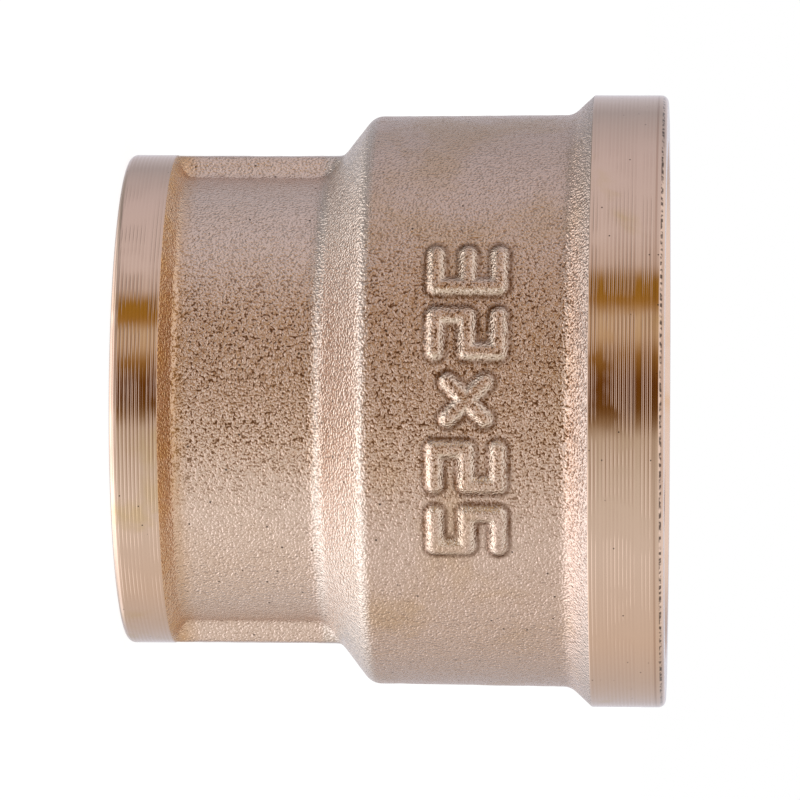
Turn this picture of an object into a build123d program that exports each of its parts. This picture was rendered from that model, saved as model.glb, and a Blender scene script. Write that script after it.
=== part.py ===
"""Reducing coupling: one cast brass body with an internal pipe thread at each end.

Frame: the coupling stands on its small end. The origin is the centre of the small end face and +Z runs along the
axis to the large end. The size mark faces -Y and the two moulding ribs lie on +X and -X. Units are millimetres.
"""

from build123d import *
from build123d.topology import SkipClean
import math
import os

NODE = "coupling_body"

# Overall
OVERALL_LENGTH = 44.0

# Pipe threads, parallel, right-hand, 55 degree flanks: large end 1 1/4, small end 1
LARGE_THREAD_DIAMETER = 41.910
SMALL_THREAD_DIAMETER = 33.249
THREAD_PITCH = 2.309
THREAD_DEPTH = 1.479
THREAD_FLANK_ANGLE = 27.5
THREAD_FLAT = 0.385
THREAD_CUT_OVERLAP = 0.1
LARGE_THREAD_LENGTH = 17.0
SMALL_THREAD_LENGTH = 13.5
PLAIN_LAND = 2.5
ENTRY_MARGIN = 0.35
ENTRY_ANGLE = 45.0

# Walls outside the thread diameters
LARGE_COLLAR_WALL = 4.045
LARGE_BODY_WALL = 2.25
SMALL_COLLAR_WALL = 3.375
SMALL_BODY_WALL = 1.83

# Lengths and slopes of the outside
SMALL_COLLAR_WIDTH = 3.85
NECK_LENGTH = 1.1
SHOULDER_SETBACK = 0.4
SHOULDER_ANGLE = 52.5
SHOULDER_WALL = 3.0
CAST_DRAFT_ANGLE = 0.6
FLARE_LENGTH = 1.75
LARGE_COLLAR_WIDTH = 6.0
CORE_STEP = 0.8

# Moulding ribs
RIB_WIDTH = 6.5
RIB_HEIGHT = 1.5
RIB_EDGE_RADIUS = 0.6
RIB_FOOT_RADIUS = 0.7
RIB_COUNT = 2

# Rounds
END_EDGE_RADIUS = 0.6
NECK_RADIUS = 0.6
SHOULDER_FOOT_RADIUS = 2.0
SHOULDER_TOP_RADIUS = 1.5
FLARE_FOOT_RADIUS = 1.5
FLARE_TOP_RADIUS = 0.3

# Raised size mark
MARK_HEIGHT = 6.5
MARK_WIDTH = 4.4
MARK_PITCH = 5.3
MARK_STROKE = 1.5
MARK_RELIEF = 0.5
MARK_ROOT_DEPTH = 0.8
MARK_CENTRE_SHARE = 0.52

# Derived radii
large_thread_radius = LARGE_THREAD_DIAMETER / 2
small_thread_radius = SMALL_THREAD_DIAMETER / 2
large_bore_radius = large_thread_radius - THREAD_DEPTH
small_bore_radius = small_thread_radius - THREAD_DEPTH
large_collar_radius = large_thread_radius + LARGE_COLLAR_WALL
large_body_radius = large_thread_radius + LARGE_BODY_WALL
small_collar_radius = small_thread_radius + SMALL_COLLAR_WALL
small_body_radius = small_thread_radius + SMALL_BODY_WALL
large_core_radius = large_bore_radius - CORE_STEP
throat_radius = small_bore_radius - CORE_STEP

# Derived heights
shoulder_slope = math.tan(math.radians(SHOULDER_ANGLE))
draft_slope = math.tan(math.radians(CAST_DRAFT_ANGLE))
small_bore_top = SMALL_THREAD_LENGTH + PLAIN_LAND
shoulder_bottom = small_bore_top + SHOULDER_SETBACK
shoulder_top = shoulder_bottom + (large_body_radius - small_body_radius) / shoulder_slope
large_collar_bottom = OVERALL_LENGTH - LARGE_COLLAR_WIDTH
flare_bottom = large_collar_bottom - FLARE_LENGTH
flare_foot_radius = large_body_radius + (flare_bottom - shoulder_top) * draft_slope
large_bore_bottom = OVERALL_LENGTH - LARGE_THREAD_LENGTH - PLAIN_LAND

# The inside of the shoulder is its outside moved inwards by the wall
core_line_z = shoulder_bottom + SHOULDER_WALL * math.sin(math.radians(SHOULDER_ANGLE))
core_line_radius = small_body_radius - SHOULDER_WALL * math.cos(math.radians(SHOULDER_ANGLE))


def core_height(radius):
    """The height at which the inside of the shoulder has this radius."""
    return core_line_z + (radius - core_line_radius) / shoulder_slope


def revolved(points, rounds=(), turn=360):
    """The solid of revolution of an outline of (radius, height) points, with some of its corners rounded."""
    outline = make_face(Plane.XZ * Polyline(*points, close=True))
    for (radius, height), size in rounds:
        corner = outline.vertices().sort_by_distance((radius, 0, height))[0]
        outline = fillet(corner, size)
    return revolve(outline, Axis.Z, turn)


def turned_and_cast_body():
    """The outside of the coupling as one solid of revolution, with no passage through it."""
    collar_edge = (small_collar_radius, SMALL_COLLAR_WIDTH)
    neck_foot = (small_body_radius, SMALL_COLLAR_WIDTH + NECK_LENGTH)
    shoulder_foot = (small_body_radius, shoulder_bottom)
    shoulder_crest = (large_body_radius, shoulder_top)
    flare_foot = (flare_foot_radius, flare_bottom)
    flare_crest = (large_collar_radius, large_collar_bottom)
    small_end = (small_collar_radius, 0)
    large_end = (large_collar_radius, OVERALL_LENGTH)
    return revolved(
        [(0, 0), small_end, collar_edge, neck_foot, shoulder_foot, shoulder_crest, flare_foot, flare_crest,
         large_end, (0, OVERALL_LENGTH)],
        [(small_end, END_EDGE_RADIUS), (neck_foot, NECK_RADIUS), (shoulder_foot, SHOULDER_FOOT_RADIUS),
         (shoulder_crest, SHOULDER_TOP_RADIUS), (flare_foot, FLARE_FOOT_RADIUS), (flare_crest, FLARE_TOP_RADIUS),
         (large_end, END_EDGE_RADIUS)],
    )


def ribbed_barrel():
    """The small barrel's cross-section with its ribs, run from the collar into the shoulder."""
    crest_radius = small_body_radius + RIB_HEIGHT
    bars = Circle(small_body_radius)
    for turn in range(RIB_COUNT):
        bar = Pos(small_body_radius, 0) * Rectangle(4 * RIB_HEIGHT, RIB_WIDTH)
        bars += Rot(0, 0, turn * 360 / RIB_COUNT) * bar
    section = bars & Circle(crest_radius)
    middle = small_body_radius + RIB_HEIGHT / 2
    edges = section.vertices().filter_by(lambda v: math.hypot(v.X, v.Y) > middle)
    section = fillet(edges, RIB_EDGE_RADIUS)
    feet = section.vertices().filter_by(lambda v: math.hypot(v.X, v.Y) < small_body_radius + RIB_HEIGHT / 10)
    section = fillet(feet, RIB_FOOT_RADIUS)
    bottom = SMALL_COLLAR_WIDTH / 2
    top = shoulder_bottom + 2 * RIB_HEIGHT / shoulder_slope
    return Pos(0, 0, bottom) * extrude(section, top - bottom)


def passage_halves():
    """The space through the coupling: two bored sockets with entry chamfers, and the cast core between them.

    It comes as two half turns, which leave each bore's wall as half-round faces.
    """
    large_mouth = large_thread_radius + ENTRY_MARGIN
    small_mouth = small_thread_radius + ENTRY_MARGIN
    entry_slope = math.tan(math.radians(ENTRY_ANGLE))
    half = revolved([
        (0, 0),
        (small_mouth, 0),
        (small_bore_radius, (small_mouth - small_bore_radius) / entry_slope),
        (small_bore_radius, small_bore_top),
        (throat_radius, small_bore_top),
        (throat_radius, core_height(throat_radius)),
        (large_core_radius, core_height(large_core_radius)),
        (large_core_radius, large_bore_bottom),
        (large_bore_radius, large_bore_bottom),
        (large_bore_radius, OVERALL_LENGTH - (large_mouth - large_bore_radius) / entry_slope),
        (large_mouth, OVERALL_LENGTH),
        (0, OVERALL_LENGTH),
    ], turn=180)
    return [half, Rot(0, 0, 180) * half]


def thread_turns(bore_radius, thread_length):
    """The turns of a right-hand helical groove, cut outwards from a bore that opens downwards at height 0.

    The last turn ends at the thread's length and the first starts outside the mouth. The section overlaps the bore
    slightly, so that what the cut leaves of the bore is the thread's crest.
    """
    outer_half = THREAD_FLAT / 2
    inner_half = outer_half + (THREAD_DEPTH + THREAD_CUT_OVERLAP) * math.tan(math.radians(THREAD_FLANK_ANGLE))
    section = make_face(Plane.XZ * Polyline(
        (bore_radius - THREAD_CUT_OVERLAP, -inner_half),
        (bore_radius + THREAD_DEPTH, -outer_half),
        (bore_radius + THREAD_DEPTH, outer_half),
        (bore_radius - THREAD_CUT_OVERLAP, inner_half),
        close=True,
    ))
    one_turn = sweep(section, Helix(THREAD_PITCH, THREAD_PITCH, bore_radius), is_frenet=True)
    count = math.ceil(thread_length / THREAD_PITCH) + 1
    return [Pos(0, 0, thread_length - turn * THREAD_PITCH) * one_turn for turn in range(count, 0, -1)]


def stroke(x1, z1, x2, z2):
    """One straight stroke of a character, as wide as MARK_STROKE and round at both ends."""
    length = math.hypot(x2 - x1, z2 - z1)
    turn = math.degrees(math.atan2(z2 - z1, x2 - x1))
    return Pos((x1 + x2) / 2, (z1 + z2) / 2) * Rot(0, 0, turn) * SlotCenterToCenter(length, MARK_STROKE)


def size_mark():
    """The nominal sizes of the two ends, 32x25, as raised characters in straight strokes round the large barrel."""
    side = (MARK_WIDTH - MARK_STROKE) / 2
    rise = (MARK_HEIGHT - MARK_STROKE) / 2
    top, middle, bottom = [(-side, level, side, level) for level in (rise, 0, -rise)]
    upper_right, lower_right = (side, 0, side, rise), (side, -rise, side, 0)
    upper_left, lower_left = (-side, 0, -side, rise), (-side, -rise, -side, 0)
    characters = {
        "3": (top, middle, bottom, upper_right, lower_right),
        "2": (top, middle, bottom, upper_right, lower_left),
        "5": (top, middle, bottom, upper_left, lower_right),
        "x": ((-side, -side, side, side), (-side, side, side, -side)),
    }
    height = shoulder_top + (flare_bottom - shoulder_top) * MARK_CENTRE_SHARE
    radius = large_body_radius + (height - shoulder_top) * draft_slope
    text = "32x25"
    blank = None
    for place, character in enumerate(text):
        angle = math.degrees((place - (len(text) - 1) / 2) * MARK_PITCH / radius)
        tangent = Rot(0, 0, angle) * Pos(0, -radius + MARK_ROOT_DEPTH, height) * Rot(90, 0, 0)
        shape = Sketch() + [stroke(*line) for line in characters[character]]
        prism = tangent * extrude(shape, MARK_ROOT_DEPTH + 3 * MARK_RELIEF)
        blank = prism if blank is None else blank + prism
    crest_low = large_body_radius + MARK_RELIEF
    crest_high = flare_foot_radius + MARK_RELIEF
    limit = revolved([(0, shoulder_top), (crest_low, shoulder_top), (crest_high, flare_bottom), (0, flare_bottom)])
    return blank & limit


def coupling_body():
    """The whole coupling.

    The cuts are left as they fall, with no merging of neighbouring faces, so that each strip of thread crest stays a
    half-round face of its own.
    """
    outside = turned_and_cast_body() + ribbed_barrel() + size_mark()
    large_mouth = Pos(0, 0, OVERALL_LENGTH) * Rot(180, 0, 0)
    cuts = passage_halves() + thread_turns(small_bore_radius, SMALL_THREAD_LENGTH)
    cuts += [large_mouth * turn for turn in thread_turns(large_bore_radius, LARGE_THREAD_LENGTH)]
    body = outside
    with SkipClean():
        for cut in cuts:
            body -= cut
    return body


if __name__ == "__main__":
    os.makedirs("parts", exist_ok=True)
    export_step(coupling_body(), os.path.join("parts", NODE + ".step"))
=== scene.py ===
"""Looks of a cast brass reducing coupling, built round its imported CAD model.

The coupling stands on its small end at the origin, with its axis along +Z, its size mark towards -Y and its
two moulding ribs on +X and -X. Sizes in the dataclasses are millimetres; every Blender object is in metres.
"""

import logging
import math
from dataclasses import dataclass, field
from enum import Enum
from typing import Callable

import bpy
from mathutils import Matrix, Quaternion, Vector


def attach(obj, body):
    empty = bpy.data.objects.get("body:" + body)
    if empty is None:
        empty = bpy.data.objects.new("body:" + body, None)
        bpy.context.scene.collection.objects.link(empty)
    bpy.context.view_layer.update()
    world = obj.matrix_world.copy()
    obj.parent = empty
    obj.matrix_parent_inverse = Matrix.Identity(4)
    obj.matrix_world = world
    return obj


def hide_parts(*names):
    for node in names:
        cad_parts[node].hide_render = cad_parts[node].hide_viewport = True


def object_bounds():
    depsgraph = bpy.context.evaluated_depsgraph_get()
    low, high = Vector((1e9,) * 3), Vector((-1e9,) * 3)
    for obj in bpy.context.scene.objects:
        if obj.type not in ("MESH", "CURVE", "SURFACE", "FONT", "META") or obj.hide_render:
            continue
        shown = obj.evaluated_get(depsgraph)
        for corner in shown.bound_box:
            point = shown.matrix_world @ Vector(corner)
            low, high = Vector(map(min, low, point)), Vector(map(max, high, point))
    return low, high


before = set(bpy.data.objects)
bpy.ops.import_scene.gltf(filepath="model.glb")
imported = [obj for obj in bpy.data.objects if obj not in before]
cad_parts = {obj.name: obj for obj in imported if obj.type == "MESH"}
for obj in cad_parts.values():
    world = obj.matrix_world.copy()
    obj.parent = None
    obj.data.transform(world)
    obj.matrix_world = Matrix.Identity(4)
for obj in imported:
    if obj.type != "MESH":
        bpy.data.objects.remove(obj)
CAD_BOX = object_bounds()

MM = 0.001
OUTSIDE_SLACK = 0.1
HEIGHT_SLACK = 0.01
LOG = logging.getLogger("coupling")


# --------------------------------------------------------------------------------------------------------
# Small helpers round Blender's own operators
# --------------------------------------------------------------------------------------------------------


def metres(point: tuple[float, ...]) -> Vector:
    """A point given in millimetres, in metres."""
    return Vector(point) * MM


def deselect_all() -> None:
    """Leave object mode's selection empty."""
    if bpy.context.object and bpy.context.object.mode != "OBJECT":
        bpy.ops.object.mode_set(mode="OBJECT")
    bpy.ops.object.select_all(action="DESELECT")


def choose(piece: bpy.types.Object) -> None:
    """Make a piece the only selected and the active object.

    Args:
        piece: The object to work on.
    """
    deselect_all()
    piece.select_set(True)
    bpy.context.view_layer.objects.active = piece


def edit(piece: bpy.types.Object, kind: str = "VERT") -> None:
    """Open a piece in edit mode with nothing selected.

    Args:
        piece: The mesh object to edit.
        kind: The select mode: VERT, EDGE or FACE.
    """
    choose(piece)
    bpy.ops.object.mode_set(mode="EDIT")
    bpy.ops.mesh.select_mode(type=kind)
    bpy.ops.mesh.select_all(action="DESELECT")


def leave_edit() -> None:
    """Go back to object mode."""
    bpy.ops.object.mode_set(mode="OBJECT")


def select_faces(piece: bpy.types.Object, wanted: Callable[[Vector], bool]) -> int:
    """Select the faces whose centre passes a test, in edit mode.

    Args:
        piece: The object in edit mode, in face select mode.
        wanted: Says of a face's centre whether it is selected.

    Returns:
        The number of faces selected.
    """
    bpy.ops.object.mode_set(mode="OBJECT")
    count = 0
    for polygon in piece.data.polygons:
        polygon.select = wanted(polygon.center)
        count += polygon.select
    bpy.ops.object.mode_set(mode="EDIT")
    return count


def draw_chain(name: str, points: list[tuple[float, float]]) -> bpy.types.Object:
    """Draw a closed chain of edges in the XZ plane, one extrusion after another.

    Args:
        name: The new object's name.
        points: The chain's (radius, height) points in millimetres.

    Returns:
        The object, in object mode, with its origin at the world's.
    """
    deselect_all()
    start = metres((points[0][0], 0.0, points[0][1]))
    bpy.ops.mesh.primitive_plane_add(size=MM, location=start)
    piece = bpy.context.object
    piece.name = name
    bpy.ops.object.transform_apply(location=True, rotation=False, scale=False)
    bpy.ops.object.mode_set(mode="EDIT")
    bpy.ops.mesh.select_mode(type="VERT")
    bpy.ops.mesh.select_all(action="SELECT")
    bpy.ops.mesh.merge(type="CENTER")
    for before, after in zip(points, points[1:]):
        step = metres((after[0] - before[0], 0.0, after[1] - before[1]))
        bpy.ops.mesh.extrude_vertices_move(TRANSFORM_OT_translate={"value": step})
    bpy.ops.object.mode_set(mode="OBJECT")
    vertices = piece.data.vertices
    for vertex in vertices:
        vertex.select = vertex.index in (0, len(vertices) - 1)
    bpy.ops.object.mode_set(mode="EDIT")
    bpy.ops.mesh.edge_face_add()
    leave_edit()
    return piece


def finish_modifier(piece: bpy.types.Object, modifier: bpy.types.Modifier) -> None:
    """Apply one modifier of a piece."""
    choose(piece)
    bpy.ops.object.modifier_apply(modifier=modifier.name)


def paint_group(piece: bpy.types.Object, name: str, weight: Callable[[Vector], float]) -> None:
    """Fill a vertex group with a weight worked out from each vertex's place.

    Args:
        piece: The mesh object.
        name: The group's name.
        weight: The weight, from 0 to 1, at a place in millimetres.
    """
    group = piece.vertex_groups.new(name=name)
    for vertex in piece.data.vertices:
        value = weight(vertex.co / MM)
        if value > 0.0:
            group.add([vertex.index], min(value, 1.0), "REPLACE")


def push(piece: bpy.types.Object, group: str, direction: str, height: float) -> None:
    """Move a vertex group by a Displace modifier and apply it.

    Args:
        piece: The mesh object.
        group: The vertex group that says how much each vertex moves.
        direction: The modifier's direction: X, Y, Z or NORMAL.
        height: The largest move in millimetres.
    """
    displace = piece.modifiers.new(group, "DISPLACE")
    displace.direction = direction
    displace.vertex_group = group
    displace.mid_level = 0.0
    displace.strength = height * MM
    finish_modifier(piece, displace)


def ease(value: float, low: float, high: float) -> float:
    """A smooth step that is 0 at low and 1 at high."""
    share = min(max((value - low) / (high - low), 0.0), 1.0)
    return share * share * (3.0 - 2.0 * share)


# --------------------------------------------------------------------------------------------------------
# Sizes and the outline
# --------------------------------------------------------------------------------------------------------


class Finish(Enum):
    """The finishes of the coupling's surface, in the order of its material slots."""

    CAST_SKIN = 0
    TURNED_BAND = 1
    CUT_THREAD = 2
    CAST_CORE = 3


@dataclass(frozen=True)
class Corner:
    """One corner of the coupling's outline, and how the stretch after it is divided.

    Attributes:
        radius: Distance from the axis.
        height: Height above the small end.
        rounding: The radius of the corner's round, or 0 for a sharp one.
        step: The longest edge on the stretch to the next corner.
    """

    radius: float
    height: float
    rounding: float = 0.0
    step: float = 1.0


@dataclass(frozen=True)
class CouplingSizes:
    """The coupling's driving sizes in millimetres. The overall ones come from the CAD model's box."""

    length: float = CAD_BOX[1].z / MM
    large_collar_radius: float = CAD_BOX[1].x / MM
    large_thread_radius: float = 20.955
    small_thread_radius: float = 16.6245
    thread_pitch: float = 2.309
    thread_depth: float = 1.479
    large_thread_length: float = 17.0
    small_thread_length: float = 13.5
    plain_land: float = 2.5
    entry_margin: float = 0.35
    core_step: float = 0.8
    large_body_wall: float = 2.25
    small_collar_wall: float = 3.375
    small_body_wall: float = 1.83
    shoulder_wall: float = 3.0
    shoulder_setback: float = 0.4
    shoulder_angle: float = 52.5
    draft_angle: float = 0.6
    small_collar_width: float = 3.85
    neck_length: float = 1.1
    large_collar_width: float = 6.0
    flare_length: float = 1.75

    @property
    def large_bore_radius(self) -> float:
        """The crest radius of the large socket's thread."""
        return self.large_thread_radius - self.thread_depth

    @property
    def small_bore_radius(self) -> float:
        """The crest radius of the small socket's thread."""
        return self.small_thread_radius - self.thread_depth

    @property
    def large_body_radius(self) -> float:
        """The large barrel's radius at the top of the shoulder."""
        return self.large_thread_radius + self.large_body_wall

    @property
    def small_collar_radius(self) -> float:
        """The small collar's radius."""
        return self.small_thread_radius + self.small_collar_wall

    @property
    def small_body_radius(self) -> float:
        """The small barrel's radius."""
        return self.small_thread_radius + self.small_body_wall

    @property
    def shoulder_slope(self) -> float:
        """How much the shoulder's radius grows with height."""
        return math.tan(math.radians(self.shoulder_angle))

    @property
    def small_bore_top(self) -> float:
        """The height where the small socket's bore ends."""
        return self.small_thread_length + self.plain_land

    @property
    def shoulder_bottom(self) -> float:
        """The height where the shoulder starts."""
        return self.small_bore_top + self.shoulder_setback

    @property
    def shoulder_top(self) -> float:
        """The height where the shoulder meets the large barrel."""
        return self.shoulder_bottom + (self.large_body_radius - self.small_body_radius) / self.shoulder_slope

    @property
    def large_collar_bottom(self) -> float:
        """The height of the large collar's lower edge."""
        return self.length - self.large_collar_width

    @property
    def flare_bottom(self) -> float:
        """The height where the large barrel starts to flare."""
        return self.large_collar_bottom - self.flare_length

    @property
    def large_bore_bottom(self) -> float:
        """The height where the large socket's bore ends."""
        return self.length - self.large_thread_length - self.plain_land

    def barrel_radius(self, height: float) -> float:
        """The large barrel's radius at a height between the shoulder and the flare."""
        draft = math.tan(math.radians(self.draft_angle))
        return self.large_body_radius + (height - self.shoulder_top) * draft

    def core_height(self, radius: float) -> float:
        """The height at which the inside of the shoulder has a radius.

        Args:
            radius: The distance from the axis.

        Returns:
            The height above the small end.
        """
        lean = math.radians(self.shoulder_angle)
        line_height = self.shoulder_bottom + self.shoulder_wall * math.sin(lean)
        line_radius = self.small_body_radius - self.shoulder_wall * math.cos(lean)
        return line_height + (radius - line_radius) / self.shoulder_slope

    def corners(self) -> list[Corner]:
        """Lay out the outline.

        Returns:
            Its corners, from the small mouth up the outside and down the inside.
        """
        large_mouth = self.large_thread_radius + self.entry_margin
        small_mouth = self.small_thread_radius + self.entry_margin
        core = self.large_bore_radius - self.core_step
        throat = self.small_bore_radius - self.core_step
        return [
            Corner(small_mouth, 0.0, 0.12, 1.2),
            Corner(self.small_collar_radius, 0.0, 0.6, 1.0),
            Corner(self.small_collar_radius, self.small_collar_width, 0.15, 0.3),
            Corner(self.small_body_radius, self.small_collar_width + self.neck_length, 0.8, 0.5),
            Corner(self.small_body_radius, self.shoulder_bottom, 2.0, 0.4),
            Corner(self.large_body_radius, self.shoulder_top, 1.5, 0.5),
            Corner(self.barrel_radius(self.flare_bottom), self.flare_bottom, 1.5, 0.4),
            Corner(self.large_collar_radius, self.large_collar_bottom, 0.2, 1.0),
            Corner(self.large_collar_radius, self.length, 0.6, 1.2),
            Corner(large_mouth, self.length, 0.12, 1.0),
            Corner(self.large_bore_radius, self.length - large_mouth + self.large_bore_radius, 0.0, 3.0),
            Corner(self.large_bore_radius, self.large_bore_bottom, 0.0, 0.4),
            Corner(core, self.large_bore_bottom, 0.3, 0.7),
            Corner(core, self.core_height(core), 1.2, 0.6),
            Corner(throat, self.core_height(throat), 0.6, 0.5),
            Corner(throat, self.small_bore_top, 0.2, 0.4),
            Corner(self.small_bore_radius, self.small_bore_top, 0.0, 3.0),
            Corner(self.small_bore_radius, small_mouth - self.small_bore_radius, 0.0, 1.0),
        ]


def arc_round(before: Corner, corner: Corner, after: Corner, turn_step: float) -> list[tuple[float, float]]:
    """The points that round one corner of an outline.

    Args:
        before: The corner before it.
        corner: The corner to round.
        after: The corner after it.
        turn_step: The largest turn between two points, in degrees.

    Returns:
        The (radius, height) points, or the corner itself where it stays sharp.
    """
    here = Vector((corner.radius, corner.height))
    if corner.rounding <= 0.0:
        return [tuple(here)]
    incoming = (here - Vector((before.radius, before.height))).normalized()
    outgoing = (Vector((after.radius, after.height)) - here).normalized()
    turn = incoming.angle_signed(outgoing)
    setback = corner.rounding * math.tan(abs(turn) / 2.0)
    start = here - incoming * setback
    side = Vector((incoming.y, -incoming.x)) if turn > 0 else Vector((-incoming.y, incoming.x))
    centre = start + side * corner.rounding
    count = max(2, math.ceil(math.degrees(abs(turn)) / turn_step))
    spoke = start - centre
    points = []
    for index in range(count + 1):
        angle = -turn * index / count
        cosine, sine = math.cos(angle), math.sin(angle)
        across, up = spoke.x * cosine - spoke.y * sine, spoke.x * sine + spoke.y * cosine
        points.append((centre.x + across, centre.y + up))
    return points


def outline_points(corners: list[Corner], turn_step: float = 9.0) -> list[tuple[float, float]]:
    """The whole outline: rounded corners joined by evenly divided stretches.

    Args:
        corners: The closed outline's corners.
        turn_step: The largest turn between two points of a round, in degrees.

    Returns:
        The (radius, height) points in order, without repeating the first.
    """
    rounds = []
    for index, corner in enumerate(corners):
        after = corners[(index + 1) % len(corners)]
        rounds.append(arc_round(corners[index - 1], corner, after, turn_step))
    points = []
    for index, corner in enumerate(corners):
        points += rounds[index]
        end, start = Vector(points[-1]), Vector(rounds[(index + 1) % len(corners)][0])
        count = max(1, math.ceil((start - end).length / corner.step))
        points += [tuple(end.lerp(start, step / count)) for step in range(1, count)]
    return points


# --------------------------------------------------------------------------------------------------------
# The casting
# --------------------------------------------------------------------------------------------------------


@dataclass(frozen=True)
class MouldingRibs:
    """The two ribs along the small barrel.

    Attributes:
        sizes: The coupling's sizes.
        width: The width between the middles of the two flanks.
        height: How far the crest stands out of the barrel.
        flank: The width of a flank, from foot to crest.
        blend: The softness of the crest's run into the shoulder.
    """

    sizes: CouplingSizes
    width: float = 6.5
    height: float = 1.5
    flank: float = 1.8
    blend: float = 0.25

    def lift(self, place: Vector) -> float:
        """The share of the rib's height by which a point of the outside moves outwards.

        Args:
            place: The point before the rib is raised.

        Returns:
            A share from 0 to 1.
        """
        sizes = self.sizes
        if math.hypot(place.x, place.y) < sizes.small_body_radius - OUTSIDE_SLACK:
            return 0.0
        if not sizes.small_collar_width - HEIGHT_SLACK < place.z < sizes.shoulder_top:
            return 0.0
        across = abs(place.y)
        edge = self.width / 2.0
        if across > edge + self.flank:
            return 0.0
        crest = math.sqrt((sizes.small_body_radius + self.height) ** 2 - place.y**2)
        gap = (crest - abs(place.x)) / self.height
        if place.z > sizes.shoulder_bottom - sizes.small_bore_top / 4.0:
            soft = self.blend / self.height
            gap = (gap + math.hypot(gap, soft)) / 2.0
        side = 1.0 - ease(across, edge - self.flank / 2.0, edge + self.flank / 2.0)
        return max(0.0, gap) * side


@dataclass(frozen=True)
class SizeMark:
    """The raised nominal sizes on the front of the large barrel, drawn in straight round-ended strokes.

    Attributes:
        sizes: The coupling's sizes.
        text: The characters, left to right.
        height: The height of a character.
        width: The width of a character.
        pitch: The distance from one character's middle to the next.
        stroke: The width of a stroke.
        relief: How far the strokes stand out.
        edge: The width of a stroke's rounded edge, three quarters of it inside the stroke.
        place: Where the mark's middle is, as a share of the way from the shoulder to the flare.
    """

    sizes: CouplingSizes
    text: str = "32x25"
    height: float = 6.5
    width: float = 4.4
    pitch: float = 5.3
    stroke: float = 1.5
    relief: float = 0.5
    edge: float = 0.8
    place: float = 0.52

    def strokes(self) -> list[tuple[float, float, float, float]]:
        """Lay out the characters.

        Returns:
            Every stroke's two ends, measured along the barrel and up it from the mark's middle.
        """
        side = (self.width - self.stroke) / 2.0
        rise = (self.height - self.stroke) / 2.0
        top, middle, bottom = [(-side, level, side, level) for level in (rise, 0.0, -rise)]
        upper_right, lower_right = (side, 0.0, side, rise), (side, -rise, side, 0.0)
        upper_left, lower_left = (-side, 0.0, -side, rise), (-side, -rise, -side, 0.0)
        characters = {
            "3": (top, middle, bottom, upper_right, lower_right),
            "2": (top, middle, bottom, upper_right, lower_left),
            "5": (top, middle, bottom, upper_left, lower_right),
            "x": ((-side, -side, side, side), (-side, side, side, -side)),
        }
        found = []
        for index, character in enumerate(self.text):
            shift = (index - (len(self.text) - 1) / 2.0) * self.pitch
            found += [(a + shift, b, c + shift, d) for a, b, c, d in characters[character]]
        return found

    def middle(self) -> float:
        """The height of the mark's middle."""
        span = self.sizes.flare_bottom - self.sizes.shoulder_top
        return self.sizes.shoulder_top + span * self.place

    def on_barrel(self, place: Vector) -> tuple[float, float]:
        """Where a point is along the barrel and up it, measured from the mark's middle."""
        height = self.middle()
        return math.atan2(place.x, -place.y) * self.sizes.barrel_radius(height), place.z - height

    def near(self, place: Vector, margin: float) -> bool:
        """Say whether a point of the outside is near the mark's rectangle.

        Args:
            place: The point.
            margin: How far outside the rectangle still counts.

        Returns:
            True if it is.
        """
        if math.hypot(place.x, place.y) < self.sizes.large_thread_radius + 1.0:
            return False
        along, up = self.on_barrel(place)
        reach = (len(self.text) - 1) * self.pitch / 2.0 + self.width / 2.0 + margin
        return abs(along) < reach and abs(up) < self.height / 2.0 + margin

    def distance(self, place: Vector) -> float:
        """Measure how far a point is from the nearest stroke's edge.

        Args:
            place: The point.

        Returns:
            The distance, negative inside a stroke.
        """
        along, up = self.on_barrel(place)
        nearest = self.height
        for x1, z1, x2, z2 in self.strokes():
            run = Vector((x2 - x1, z2 - z1))
            offset = Vector((along - x1, up - z1))
            share = min(max(offset.dot(run) / run.length_squared, 0.0), 1.0)
            nearest = min(nearest, (offset - run * share).length)
        return nearest - self.stroke / 2.0

    def lift(self, place: Vector) -> float:
        """The share of the relief at a point.

        Args:
            place: The point before the mark is raised.

        Returns:
            A share from 0 to 1.
        """
        if not self.near(place, self.edge):
            return 0.0
        return 1.0 - ease(self.distance(place), -0.75 * self.edge, 0.25 * self.edge)

    def residue(self, place: Vector) -> float:
        """How much residue clings at a point: most along the foot of the strokes.

        Args:
            place: The point.

        Returns:
            A share from 0 to 1.
        """
        if not self.near(place, self.edge):
            return 0.0
        gap = self.distance(place)
        return ease(gap, -0.3 * self.edge, 0.1) * (1.0 - ease(gap, 0.12, 0.6 * self.edge))

    def stroke_highlight(self, place: Vector) -> float:
        """How much painted highlight a point gets: a thin line along the strokes' rounded upper edges.

        Args:
            place: The point.

        Returns:
            A share from 0 to 1.
        """
        if not self.near(place, self.edge):
            return 0.0
        gap = self.distance(place) + 0.3 * self.edge
        return 1.0 - ease(abs(gap), 0.05 * self.edge, 0.4 * self.edge)


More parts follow.
